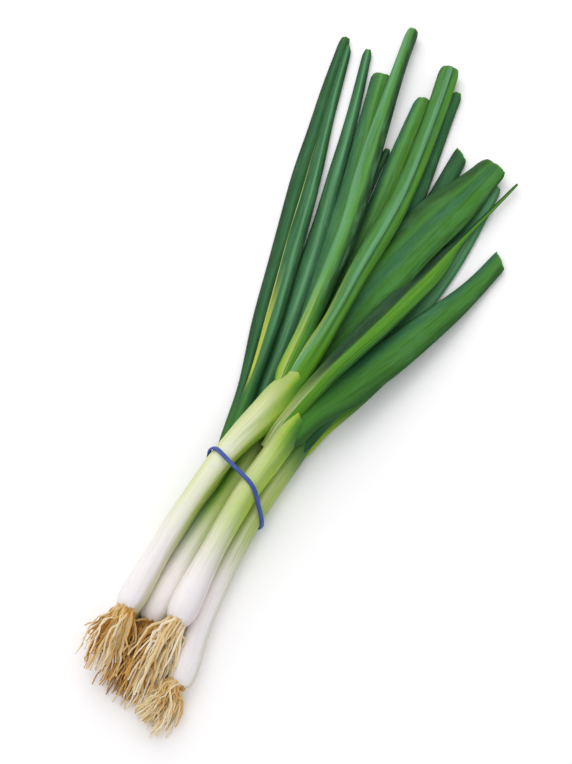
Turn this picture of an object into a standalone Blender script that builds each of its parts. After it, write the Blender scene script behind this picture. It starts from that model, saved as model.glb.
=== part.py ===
"""A bunch of five spring onions with its rubber band, lying on a table.

The script's unit is the millimetre, turned into Blender's metre as each mesh is made. The stems run along
+Y, from the roots to the leaves, +Z is up and the table is z = 0. Three stems lie on the table and two lie on
them. Each onion is a stem with its white bulb, a tuft of roots and a few hollow leaves, here closed solids.
"""

from dataclasses import dataclass
from math import atan2, cos, pi, radians, sin

import bmesh
import bpy
import numpy as np
from mathutils import Matrix, Vector

MM = 0.001
SHARP_ANGLE = 50.0          # degrees between faces that are shaded apart
TOUCH_GAP = 0.3             # left between pieces that touch
LAID_GAP = 0.6              # left under a leaf that lies on another, because both bend

# Stems
STEM_SIDES = 12
STEM_RINGS = 18
RING_CROWDING = 1.6         # above 1, the rings stand closer towards the bulb, which is rounder
PLATE_RADIUS = 2.7          # the plate that the roots grow from
SHOULDER = 6.0              # from the plate to the full roundness of the bulb
BULB_REACH = 30.0           # from the plate to where the bulb has become the shaft
FLARE = 35.0                # length over which the shaft widens towards its leaves

# Rubber band, in a plane that leans over the stems
BAND_WIDTH = 1.8
BAND_THICKNESS = 0.8
BAND_LEAN_X = -0.42         # run along Y for each step in X
BAND_LEAN_Z = 0.30          # and for each step in Z
BAND_START = -4.0           # along Y at the origin
BAND_SECTIONS = 40

# Leaves
LEAF_SIDES = 10
LEAF_RINGS = 16
LEAF_TURN = 14.0            # from a leaf's base to where it has turned away from the stem
LEAF_STEP = 0.4             # step along a leaf while it is laid, under a cell of the height map
LEAST_BEND_RADIUS = 110.0   # of a leaf that bends down over another
TABLE_GAP = 0.05            # under the leaves, so that the bulbs also touch the table
PILE_CELL = 0.5             # grid of the height map that the leaves are laid on
PILE_ACROSS = 41            # points across a leaf while it is laid

# Roots
ROOT_SIDES = 14
ROOT_RINGS = 8
ROOT_LOBES = 7
ROOT_LOBE_DEPTH = 0.14
ROOT_START_RADIUS = 2.3
ROOT_RADIUS = 3.9           # where the tuft is fullest
ROOT_SWELL = 0.7            # below 1, the tuft is fullest nearer its plate
ROOT_END_HEIGHT = 3.0


# Where a leaf starts in the round outline of its stem's end, which has a radius of 1: the middle's place
# across and up, then the half width and the half height.
LEFT_THIRD = (-0.67, 0.0, 0.29, 0.60)
MIDDLE_THIRD = (0.0, 0.0, 0.29, 0.80)
RIGHT_THIRD = (0.67, -0.15, 0.29, 0.45)
LEFT_HALF = (-0.5, 0.0, 0.46, 0.80)
RIGHT_HALF = (0.5, 0.0, 0.46, 0.80)
LOW_RIGHT_HALF = (0.52, -0.1, 0.45, 0.66)
LOWER_LEFT = (-0.5, -0.43, 0.46, 0.39)
LOWER_RIGHT = (0.5, -0.43, 0.46, 0.39)
UPPER_LEFT = (-0.5, 0.43, 0.46, 0.39)
UPPER_RIGHT = (0.5, 0.43, 0.46, 0.39)


@dataclass
class Leaf:
    """Headings are in degrees from +Y towards +X. Cut is how far the tip's right side is ahead of its left.

    The leaf has its full width at the distance spreads_by, and narrows to its tip between two shares of its
    length.
    """

    start: tuple
    start_heading: float
    end_heading: float
    length: float
    width: float
    thickness: float
    tip_width: float
    cut: float = 0.0
    spreads_by: float = 70.0
    narrows_at: float = 0.4
    narrowed_by: float = 1.0


@dataclass
class Onion:
    """Plate, held and split are points on the stem's axis: at the roots, in the band and where leaves part.

    The root heading is in degrees from -Y towards +X.
    """

    plate: tuple
    held: tuple
    split: tuple
    bulb_radius: float
    shaft_radius: float
    end_radius: float
    root_length: float
    root_heading: float
    leaves: tuple


# Each piece is laid on those before it, so the lower three onions come first.
ONIONS = {
    "onion_5": Onion(
        plate=(-13.4, -59.0, 3.9), held=(-9.7, 3.0, 5.0), split=(-10.0, 14.0, 5.0),
        bulb_radius=4.0, shaft_radius=3.5, end_radius=3.8, root_length=13.0, root_heading=6.0,
        leaves=(
            Leaf(LEFT_THIRD, -14.5, -11.0, 190, 5.6, 2.6, 2.8),
            Leaf(RIGHT_THIRD, -6.5, -16, 187, 4.6, 2.6, 3.4, spreads_by=20.0),
            Leaf(MIDDLE_THIRD, -11, -14.0, 175, 6.4, 2.8, 2.6),
        ),
    ),
    "onion_3": Onion(
        plate=(14.4, -73.0, 4.8), held=(8.4, -6.0, 5.6), split=(11.5, 28.0, 5.4),
        bulb_radius=4.9, shaft_radius=4.0, end_radius=4.3, root_length=17.0, root_heading=-13.0,
        leaves=(
            Leaf(LOWER_LEFT, -1, 1, 139, 8.0, 2.8, 5.5, cut=-5.0),
            Leaf(LOWER_RIGHT, 22, 16, 42, 6.0, 2.6, 5.0),
            Leaf(UPPER_RIGHT, 14, 0, 133, 7.0, 2.8, 6.0),
            Leaf(UPPER_LEFT, -1, -8, 166, 6.0, 2.8, 4.4),
        ),
    ),
    "onion_4": Onion(
        plate=(-3.7, -57.5, 5.3), held=(-2.2, 0.0, 5.6), split=(-2.6, 34.0, 5.4),
        bulb_radius=5.2, shaft_radius=3.7, end_radius=4.2, root_length=26.0, root_heading=0.0,
        leaves=(
            Leaf(LOWER_LEFT, -6, -14, 158, 8.0, 2.8, 7.0),
            Leaf(UPPER_LEFT, -6, -4.5, 124, 4.5, 2.6, 3.0),
            Leaf(LOWER_RIGHT, -1.5, -8.5, 152, 7.5, 3.0, 6.0),
            Leaf(UPPER_RIGHT, 6.5, 16.5, 135, 15.0, 3.4, 9.0, narrows_at=0.75),
        ),
    ),
    "onion_2": Onion(
        plate=(5.3, -56.0, 12.8), held=(4.3, -3.0, 13.3), split=(6.5, 26.0, 13.4),
        bulb_radius=5.3, shaft_radius=4.1, end_radius=4.9, root_length=22.0, root_heading=1.0,
        leaves=(
            Leaf(LOW_RIGHT_HALF, 25.5, 13, 109, 14.5, 3.4, 7.0, cut=-5.5, spreads_by=26.0),
            Leaf(LEFT_HALF, 18, 8.5, 141, 5.5, 3.4, 1.2, narrows_at=0.60, narrowed_by=0.78),
        ),
    ),
    "onion_1": Onion(
        plate=(-11.9, -60.0, 13.7), held=(-9.4, 4.0, 13.5), split=(-2.2, 45.0, 15.6),
        bulb_radius=4.9, shaft_radius=4.0, end_radius=5.0, root_length=19.0, root_heading=1.0,
        leaves=(
            Leaf(LEFT_HALF, -10.5, -9, 169, 8.0, 4.6, 4.6),
            Leaf(RIGHT_HALF, 5, -13, 158, 7.6, 4.8, 7.2),
        ),
    ),
}


def make_material(name, color, roughness):
    made = bpy.data.materials.new(name)
    made.use_nodes = True
    made.diffuse_color = (*color, 1.0)
    shader = made.node_tree.nodes["Principled BSDF"]
    shader.inputs["Base Color"].default_value = (*color, 1.0)
    shader.inputs["Roughness"].default_value = roughness
    shader.inputs["Metallic"].default_value = 0.0
    return made


def smooth_step(low, high, value):
    part = np.clip((value - low) / (high - low), 0.0, 1.0)
    return part * part * (3.0 - 2.0 * part)


def section_frame(point, along, half_width, half_height, cut=0.0):
    """The matrix, in metres, that takes the unit circle to one section, which lies level across its width."""
    along = Vector(along).normalized()
    side = along.cross(Vector((0.0, 0.0, 1.0))).normalized()
    over = side.cross(along)
    columns = (side * half_width + along * cut / 2.0, over * half_height, along, Vector(point))
    rows = [[column[axis] * MM for column in columns] for axis in range(3)]
    return Matrix((*rows, (0.0, 0.0, 0.0, 1.0)))


def add_object(name, mesh, finish, parent):
    data = bpy.data.meshes.new(name)
    bmesh.ops.recalc_face_normals(mesh, faces=mesh.faces)
    mesh.to_mesh(data)
    mesh.free()
    data.materials.append(finish)
    data.shade_smooth()
    data.set_sharp_from_angle(angle=radians(SHARP_ANGLE))
    made = bpy.data.objects.new(name, data)
    made.parent = parent
    bpy.context.collection.objects.link(made)
    return made


def loft(frames, sides, shape=None):
    """A closed solid through unit circles placed by the frames. Shape first moves each circle's points."""
    solid = bmesh.new()
    rings = []
    for frame in frames:
        is_end = frame in (frames[0], frames[-1])
        ring = bmesh.ops.create_circle(solid, segments=sides, radius=1.0, cap_ends=is_end)["verts"]
        if shape:
            shape(ring)
        bmesh.ops.transform(solid, matrix=frame, verts=ring)
        rings.append(list({edge for vertex in ring for edge in vertex.link_edges}))
    for near, far in zip(rings, rings[1:]):
        bmesh.ops.bridge_loops(solid, edges=near + far)
    return solid


class StemAxis:
    """The curve of a stem: x and z are quadratic in y, through the onion's three points."""

    def __init__(self, onion):
        x, y, z = zip(onion.plate, onion.held, onion.split)
        self.first, self.last = y[0], y[2]
        self.x_terms = np.polyfit(y, x, 2)
        self.z_terms = np.polyfit(y, z, 2)

    def point(self, y):
        return np.array((np.polyval(self.x_terms, y), y, np.polyval(self.z_terms, y)))

    def direction(self, y):
        slope = (np.polyval(np.polyder(self.x_terms), y), 1.0, np.polyval(np.polyder(self.z_terms), y))
        return np.array(slope) / np.linalg.norm(slope)


def stem_radius(onion, from_plate, to_end):
    """Radius at a distance from the root plate and from the stem's end."""
    bulb = smooth_step(BULB_REACH, SHOULDER, from_plate)
    flare = smooth_step(FLARE, 0.0, to_end)
    shaft = onion.shaft_radius + (onion.end_radius - onion.shaft_radius) * flare
    full = shaft + (onion.bulb_radius - shaft) * bulb
    rounding = np.sqrt(1.0 - (1.0 - np.clip(from_plate / SHOULDER, 0.0, 1.0)) ** 2)
    return PLATE_RADIUS + (full - PLATE_RADIUS) * rounding


def stem_solid(onion):
    """Rings along the axis, from the root plate to where the leaves part."""
    axis = StemAxis(onion)
    length = axis.last - axis.first
    frames = []
    for part in np.linspace(0.0, 1.0, STEM_RINGS) ** RING_CROWDING:
        y = axis.first + length * part
        radius = stem_radius(onion, y - axis.first, axis.last - y)
        frames.append(section_frame(axis.point(y), axis.direction(y), radius, radius))
    return loft(frames, STEM_SIDES)


class Pile:
    """The height of the top of what is laid so far, on a square grid over the table."""

    REACH = 300.0

    def __init__(self):
        cells = int(2 * self.REACH / PILE_CELL)
        self.top = np.zeros((cells, cells))
        self.under = self.top

    def start_onion(self):
        """Keeps what lies under the next onion, whose leaves start side by side and not on each other."""
        self.under = self.top.copy()

    def cells(self, x, y):
        return tuple(np.rint((np.array(place) + self.REACH) / PILE_CELL).astype(int) for place in (x, y))

    @staticmethod
    def across(point, heading, half_width):
        """Points across a leaf, and how round it is at each: 1 in the middle and 0 at both sides."""
        offset = np.linspace(-1.0, 1.0, PILE_ACROSS)
        x = point[0] + offset * half_width * cos(heading)
        y = point[1] - offset * half_width * sin(heading)
        return x, y, np.sqrt(1.0 - offset**2)

    def cover(self, point, heading, half_width, half_height):
        x, y, roundness = self.across(point, heading, half_width)
        np.maximum.at(self.top, self.cells(x, y), point[2] + half_height * roundness)

    def rest_height(self, run, point, heading, half_width, half_height):
        """The least height of the middle of a section that lies on the pile or on the bare table."""
        x, y, roundness = self.across(point, heading, half_width)
        below = (self.under if run < LEAF_TURN else self.top)[self.cells(x, y)]
        below = below + np.where(below > 0.0, LAID_GAP, TABLE_GAP)
        return (below + half_height * roundness).max()


def leaf_sizes(leaf, base_width, base_height, run):
    """Half width and half height at a distance along the leaf. No section is higher than it is wide."""
    spread = smooth_step(0.0, leaf.spreads_by, run)
    narrowing = smooth_step(leaf.narrows_at * leaf.length, leaf.narrowed_by * leaf.length, run)
    full = (leaf.width + (leaf.tip_width - leaf.width) * narrowing) / 2.0
    half_height = base_height + (np.minimum(leaf.thickness / 2.0, full) - base_height) * spread
    return base_width + (full - base_width) * spread, half_height


def leaf_route(leaf, base, stem_direction):
    """Distances along the leaf, with the place over the table and the heading at each."""
    run = np.arange(0.0, leaf.length + LEAF_STEP, LEAF_STEP)
    stem_heading = atan2(stem_direction[0], stem_direction[1])
    free = np.radians(np.interp(run, (0.0, leaf.length), (leaf.start_heading, leaf.end_heading)))
    heading = stem_heading + (free - stem_heading) * smooth_step(0.0, LEAF_TURN, run)
    x = base[0] + np.cumsum(np.sin(heading)) * LEAF_STEP
    y = base[1] + np.cumsum(np.cos(heading)) * LEAF_STEP - LEAF_STEP
    return run, np.column_stack((x, y)), heading


def laid_heights(run, sections, base_height, pile):
    """How high a leaf's middle lies: it starts at its base, bends gently and nowhere sinks into the pile."""
    rest = np.array([pile.rest_height(*place) for place in zip(run, *zip(*sections))])
    rest[0] = base_height
    sag = (run[:, None] - run[None, :]) ** 2 / (2.0 * LEAST_BEND_RADIUS)
    laid = (rest[None, :] - sag).max(axis=1)
    return base_height + (laid - base_height) * smooth_step(0.0, LEAF_TURN, run)


def leaf_solid(leaf, base, base_width, base_height, stem_direction, pile):
    """The leaf comes down on the pile, and then counts as laid."""
    run, places, heading = leaf_route(leaf, base, stem_direction)
    half_width, half_height = leaf_sizes(leaf, base_width, base_height, run)
    sections = list(zip(places, heading, half_width, half_height))
    heights = laid_heights(run, sections, base[2], pile)
    points = np.column_stack((places, heights))
    for point, (_, *sizes) in zip(points, sections):
        pile.cover(point, *sizes)
    directions = np.gradient(points, axis=0)
    directions[0] = stem_direction
    frames = []
    for here in np.linspace(0, len(run) - 1, LEAF_RINGS).round().astype(int):
        cut = leaf.cut if here == len(run) - 1 else 0.0
        frames.append(section_frame(points[here], directions[here], half_width[here], half_height[here], cut))
    return loft(frames, LEAF_SIDES)


def leaf_base(leaf, onion, axis):
    """The middle of the leaf's first section, its half width and its half height."""
    across, up, half_width, half_height = (share * onion.end_radius for share in leaf.start)
    along = axis.direction(axis.last)
    side = np.cross(along, (0.0, 0.0, 1.0))
    side /= np.linalg.norm(side)
    base = axis.point(axis.last) + along * TOUCH_GAP + side * across + np.cross(side, along) * up
    return base, half_width, half_height


def root_solid(onion):
    """A lobed tuft that leaves the plate, swells, and sinks to the table as it thins out."""
    axis = StemAxis(onion)
    start = axis.point(axis.first) - axis.direction(axis.first) * TOUCH_GAP
    heading = radians(onion.root_heading)
    points = []
    radii = []
    for part in np.linspace(0.0, 1.0, ROOT_RINGS):
        radius = ROOT_START_RADIUS + (ROOT_RADIUS - ROOT_START_RADIUS) * sin(pi * part**ROOT_SWELL)
        run = part * onion.root_length
        least = radius * (1.0 + ROOT_LOBE_DEPTH)
        height = start[2] + (ROOT_END_HEIGHT - start[2]) * part**2
        points.append((start[0] + run * sin(heading), start[1] - run * cos(heading), max(height, least)))
        radii.append(radius)
    directions = -np.gradient(points, axis=0)
    directions[0] = axis.direction(axis.first)

    def lobes(ring):
        for number, vertex in enumerate(ring):
            vertex.co *= 1.0 + ROOT_LOBE_DEPTH * cos(2.0 * pi * ROOT_LOBES * number / len(ring))

    frames = [section_frame(*section) for section in zip(points, directions, radii, radii)]
    return loft(frames, ROOT_SIDES, lobes)


def band_place(x, z):
    """Where the band's plane crosses the line at x and z, along Y."""
    return BAND_START + BAND_LEAN_X * x + BAND_LEAN_Z * z


def band_outline(stems):
    """The tight loop round the stems as seen along Y: at each turn, the stem that reaches furthest out."""
    turns = np.linspace(0.0, 2.0 * pi, BAND_SECTIONS, endpoint=False)
    outline = []
    for turn in turns:
        outward = np.array((cos(turn), sin(turn)))
        x, z, radius = max(stems, key=lambda stem: outward @ stem[:2] + stem[2])
        outline.append((np.array((x, z)) + outward * radius, outward))
    return outline


def band_solid(onions):
    """A flat strip, bent round the stems in its leaning plane."""
    stems = []
    for onion in onions:
        x, y, z = onion.held
        radius = stem_radius(onion, y - onion.plate[1], onion.split[1] - y)
        stems.append((x, z, radius + TOUCH_GAP))
    band = bmesh.new()
    rings = []
    for (x, z), (out_x, out_z) in band_outline(stems):
        ring = []
        for step_out, step_along in ((0, -1), (1, -1), (1, 1), (0, 1)):
            reach_x, reach_z = x + out_x * BAND_THICKNESS * step_out, z + out_z * BAND_THICKNESS * step_out
            y = band_place(reach_x, reach_z) + step_along * BAND_WIDTH / 2.0
            ring.append(band.verts.new((reach_x * MM, y * MM, reach_z * MM)))
        rings.append(ring)
    for near, far in zip(rings, rings[1:] + rings[:1]):
        for side in range(4):
            following = (side + 1) % 4
            band.faces.new((near[side], near[following], far[following], far[side]))
    return band


def centre_on_table(bunch):
    """Moves the bunch so that its box stands centred on the origin."""
    bpy.context.view_layer.update()
    corners = []
    for piece in bunch.children:
        corners += [piece.matrix_world @ vertex.co for vertex in piece.data.vertices]
    low, high = np.min(corners, axis=0), np.max(corners, axis=0)
    bunch.location = (-(low[0] + high[0]) / 2.0, -(low[1] + high[1]) / 2.0, -low[2])


def main():
    for old in list(bpy.data.objects):
        bpy.data.objects.remove(old)
    stem_finish = make_material("stem", (0.72, 0.80, 0.50), 0.35)
    leaf_finish = make_material("leaf", (0.07, 0.24, 0.08), 0.42)
    root_finish = make_material("root", (0.74, 0.60, 0.33), 0.75)
    band_finish = make_material("band", (0.08, 0.16, 0.50), 0.5)
    bunch = bpy.data.objects.new("bunch", None)
    bpy.context.collection.objects.link(bunch)
    pile = Pile()
    for name, onion in ONIONS.items():
        pile.start_onion()
        add_object(f"{name}_stem", stem_solid(onion), stem_finish, bunch)
        add_object(f"{name}_roots", root_solid(onion), root_finish, bunch)
        axis = StemAxis(onion)
        for y in np.arange(axis.first, axis.last, LEAF_STEP):
            radius = stem_radius(onion, y - axis.first, axis.last - y)
            pile.cover(axis.point(y), 0.0, radius, radius)
        for number, leaf in enumerate(onion.leaves, start=1):
            solid = leaf_solid(leaf, *leaf_base(leaf, onion, axis), axis.direction(axis.last), pile)
            add_object(f"{name}_leaf_{number}", solid, leaf_finish, bunch)
    add_object("rubber_band", band_solid(ONIONS.values()), band_finish, bunch)
    centre_on_table(bunch)


if __name__ == "__main__":
    main()
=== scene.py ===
import math
from dataclasses import dataclass

import bmesh
import bpy
import numpy as np
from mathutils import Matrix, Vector


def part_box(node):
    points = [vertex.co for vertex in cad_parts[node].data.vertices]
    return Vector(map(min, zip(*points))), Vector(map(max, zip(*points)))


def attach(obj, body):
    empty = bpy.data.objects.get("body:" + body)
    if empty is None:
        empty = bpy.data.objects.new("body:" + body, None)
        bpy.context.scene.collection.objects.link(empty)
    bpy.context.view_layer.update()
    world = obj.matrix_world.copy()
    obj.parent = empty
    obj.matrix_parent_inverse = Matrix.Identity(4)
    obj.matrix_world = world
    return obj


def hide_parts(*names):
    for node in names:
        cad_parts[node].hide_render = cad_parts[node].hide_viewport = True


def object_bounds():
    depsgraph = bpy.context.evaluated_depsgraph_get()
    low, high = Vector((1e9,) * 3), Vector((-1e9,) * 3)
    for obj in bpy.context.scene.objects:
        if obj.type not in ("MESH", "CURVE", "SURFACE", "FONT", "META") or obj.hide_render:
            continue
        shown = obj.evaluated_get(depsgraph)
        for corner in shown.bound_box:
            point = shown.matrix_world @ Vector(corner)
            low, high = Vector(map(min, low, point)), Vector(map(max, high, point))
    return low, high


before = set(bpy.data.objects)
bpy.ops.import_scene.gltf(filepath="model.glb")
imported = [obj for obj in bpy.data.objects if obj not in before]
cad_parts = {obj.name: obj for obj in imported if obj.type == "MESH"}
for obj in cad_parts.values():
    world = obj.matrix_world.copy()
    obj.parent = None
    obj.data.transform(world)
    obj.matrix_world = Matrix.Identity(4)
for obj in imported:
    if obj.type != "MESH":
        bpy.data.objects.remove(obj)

bl_info = {
    "name": "Spring Onion Bunch",
    "version": (1, 0, 0),
    "blender": (4, 5, 0),
    "location": "View3D > Sidebar > Onions",
    "description": "Models the looks of a bunch of spring onions",
    "category": "Object",
}

MM = 0.001
UP = np.array([0.0, 0.0, 1.0])
ALONG = np.array([0.0, 1.0, 0.0])
CAD_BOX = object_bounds()

STATIONS = 64
LEAF_SIDES = 40
LEAF_RINGS = 90
LEAF_ROOT = 9 * MM
SHAFT_SIDES = 56
SHAFT_RINGS = 96
COLLAR_REACH = 15 * MM
STRAND_SIDES = 4
STRAND_RINGS = 10
BAND_ROUND = 144
BAND_SIDES = 16
LEAF_SEED = 1
SHAFT_SEED = 21
BAND_SEED = 31
ROOT_SEED = 40

PER_CM = 100
FLOOR_GAP = 0.02 * MM
SECTION_REACH = 25 * MM
END_REACH = 20 * MM
LEAF_BASE_FADE = 70 * MM
LEAF_TIP = 4 * MM
LEAF_END = 14 * MM
LEAF_PATTERN_STEP = 7.3
SHAFT_PATTERN_STEP = 5.1
BULB_SHOULDER = 4.5 * MM
SHAFT_CLOSING = 9 * MM
RIM_FADE = 18 * MM
PLATE_RADIUS = 2.4 * MM
PLATE_FLATNESS = 0.55
STRAND_START = 3.2 * MM

# Name, side, watts, colour, azimuth and elevation in degrees, and distance
LIGHTS = (
    ("key_light", 1.1, 5.2, (1.0, 0.98, 0.96), -136, 46, 0.9),
    ("top_light", 0.8, 1.5, (1.0, 1.0, 1.0), -20, 70, 1.1),
    ("front_light", 0.6, 1.3, (1.0, 1.0, 1.0), 30, 50, 1.1),
)
SKY_COLOUR = (0.975, 0.97, 1.0, 1.0)
SKY_STRENGTH = 0.65
AIM_OFFSET = Vector((1.1 * MM, -16.9 * MM, -0.5 * MM))
FILM_SIDE = 36.0


def linear(red, green, blue):
    """A colour given in the usual 0 to 255 steps, as the shader's linear values."""
    steps = (red / 255, green / 255, blue / 255)
    return tuple(s / 12.92 if s < 0.04045 else ((s + 0.055) / 1.055) ** 2.4 for s in steps)


# The near-black green is painted shade, for leaf edges and hidden leaves that lie in shade; the pale
# blue-green is a leaf's waxy bloom and also its painted highlight stripes.
PALETTE = {name: linear(*steps) for name, steps in {
    "night": (20, 44, 34), "pine": (28, 76, 36), "teal": (44, 102, 62),
    "mist": (100, 156, 110), "moss": (38, 80, 26), "leaf": (60, 120, 36),
    "fresh": (86, 148, 64), "grass": (84, 142, 22), "lime": (152, 184, 48),
    "butter": (190, 198, 70), "cream": (214, 220, 160), "milk": (238, 241, 204),
    "pale": (192, 212, 128), "blush": (230, 216, 216), "ash": (212, 208, 186),
    "white": (254, 245, 238), "dew": (194, 204, 146), "sage": (158, 180, 92),
    "olive": (120, 138, 50),
}.items()}


# Shader nodes written as expressions

class Signal:
    """One output socket of a node. Arithmetic on it adds Math nodes."""

    def __init__(self, skin, socket):
        self.skin = skin
        self.socket = socket

    def math(self, operation, *values):
        inputs = dict(enumerate(values))
        return self.skin.node("ShaderNodeMath", {"operation": operation}, inputs)

    def __add__(self, other):
        return self.math("ADD", self, other)

    def __sub__(self, other):
        return self.math("SUBTRACT", self, other)

    def __rsub__(self, other):
        return self.math("SUBTRACT", other, self)

    def __mul__(self, other):
        return self.math("MULTIPLY", self, other)

    __radd__ = __add__
    __rmul__ = __mul__


class Skin:
    """A material whose nodes are added by name, and which ends in one Principled shader."""

    def __init__(self, name):
        self.material = bpy.data.materials.new(name)
        self.material.use_nodes = True
        self.tree = self.material.node_tree
        self.tree.nodes.clear()

    def node(self, kind, settings=None, inputs=None, output=0):
        made = self.tree.nodes.new(kind)
        for key, value in (settings or {}).items():
            if key == "stops":
                self.set_stops(made.color_ramp, value)
            else:
                setattr(made, key, value)
        for key, value in (inputs or {}).items():
            if isinstance(value, Signal):
                self.tree.links.new(value.socket, made.inputs[key])
            else:
                made.inputs[key].default_value = value
        return Signal(self, made.outputs[output])

    def set_stops(self, ramp, stops):
        """Gives a ramp its (position, colour) stops."""
        while len(ramp.elements) < len(stops):
            ramp.elements.new(1.0)
        for element, (position, colour) in zip(ramp.elements, stops):
            element.position = position
            element.color = (*colour, 1.0)

    def attribute(self, name):
        return self.node("ShaderNodeAttribute", {"attribute_name": name}, output=1)

    def numbers(self, vector, *places):
        """Numbers of a vector, by their places from 0."""
        sockets = self.node("ShaderNodeSeparateXYZ", inputs={0: vector}).socket.node.outputs
        return [Signal(self, sockets[place]) for place in places]

    def moved(self, vector, distance):
        """A vector moved along its third number, so that each piece has a pattern of its own."""
        return self.node("ShaderNodeVectorMath", {"operation": "ADD"}, {0: vector, 1: (0, 0, distance)})

    def noise(self, vector, scale, detail, distortion=0.0):
        inputs = {"Vector": vector, "Scale": scale, "Detail": detail, "Distortion": distortion}
        return self.node("ShaderNodeTexNoise", inputs={**inputs, "Roughness": 0.55})

    def grains(self, vector, across, along, detail, distortion=0.0):
        """Noise that is this fine across a piece's grain and along it."""
        settings = {"operation": "MULTIPLY"}
        scaled = self.node("ShaderNodeVectorMath", settings, {0: vector, 1: (across, across, along)})
        return self.noise(scaled, 1.0, detail, distortion)

    def step(self, value, low, high):
        """A smooth step of a value between low and high."""
        inputs = {"Value": value, "From Min": low, "From Max": high}
        return self.node("ShaderNodeMapRange", {"interpolation_type": "SMOOTHSTEP"}, inputs)

    def ramp(self, value, stops):
        return self.node("ShaderNodeValToRGB", {"stops": stops}, {0: value})

    def mix(self, factor, first, second):
        settings = {"data_type": "RGBA"}
        inputs = {0: factor, 6: shader_colour(first), 7: shader_colour(second)}
        return self.node("ShaderNodeMix", settings, inputs, 2)

    def tint(self, colour, value, low, high, strength, tone):
        """Mixes a tone into a colour where a value rises from low to high."""
        return self.mix(self.step(value, low, high) * strength, colour, tone)

    def close(self, colour, roughness, specular, relief=None, flesh=(0.0, (1.0, 1.0, 1.0)), coat=0.0):
        """Ends the tree in a Principled shader.

        Relief is a height, its strength and its depth. Flesh is how much light goes in, and how far.
        """
        inputs = {
            "Base Color": colour,
            "Roughness": roughness,
            "Specular IOR Level": specular,
            "Subsurface Weight": flesh[0],
            "Subsurface Radius": tuple(reach * MM for reach in flesh[1]),
            "Subsurface Scale": 1.0,
            "Coat Weight": coat,
            "Coat Roughness": 0.4,
        }
        if relief:
            values = dict(zip(("Height", "Strength", "Distance"), relief))
            inputs["Normal"] = self.node("ShaderNodeBump", inputs=values)
        shader = self.node("ShaderNodeBsdfPrincipled", inputs=inputs)
        end = self.tree.nodes.new("ShaderNodeOutputMaterial")
        self.tree.links.new(shader.socket, end.inputs["Surface"])
        return self.material


def shader_colour(colour):
    """A node's colour as it is, and others by palette name or values."""
    return colour if isinstance(colour, Signal) else (*PALETTE.get(colour, colour), 1.0)


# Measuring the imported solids

def unit(vectors):
    return vectors / np.linalg.norm(vectors, axis=-1, keepdims=True)


def sideways(direction):
    """The level side and the upward vectors across a direction."""
    side = unit(np.cross(direction, UP))
    return side, np.cross(side, direction)


def smooth_step(values, low, high):
    share = np.clip((values - low) / (high - low), 0, 1)
    return share * share * (3 - 2 * share)


def node_triangles(node):
    """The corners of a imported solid's triangles."""
    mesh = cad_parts[node].data
    points = np.empty(len(mesh.vertices) * 3)
    mesh.vertices.foreach_get("co", points)
    corners = np.empty(len(mesh.polygons) * 3, dtype=int)
    mesh.polygons.foreach_get("vertices", corners)
    return points.reshape(-1, 3)[corners].reshape(-1, 3, 3)


def slice_points(triangles, centre, normal):
    """The points where a plane cuts the edges of triangles."""
    heights = (triangles - centre) @ normal
    found = []
    for a, b in ((0, 1), (1, 2), (2, 0)):
        crossing = heights[:, a] * heights[:, b] < 0
        above = heights[crossing, a][:, None]
        below = heights[crossing, b][:, None]
        start = triangles[crossing, a]
        end = triangles[crossing, b]
        found.append(start + (end - start) * above / (above - below))
    return np.concatenate(found)


def smoothed(values, passes=4):
    """Evens out a row of values, with its ends kept."""
    values = values.copy()
    for _ in range(passes):
        values[1:-1] = values[1:-1] * 0.5 + (values[2:] + values[:-2]) * 0.25
    return values


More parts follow.
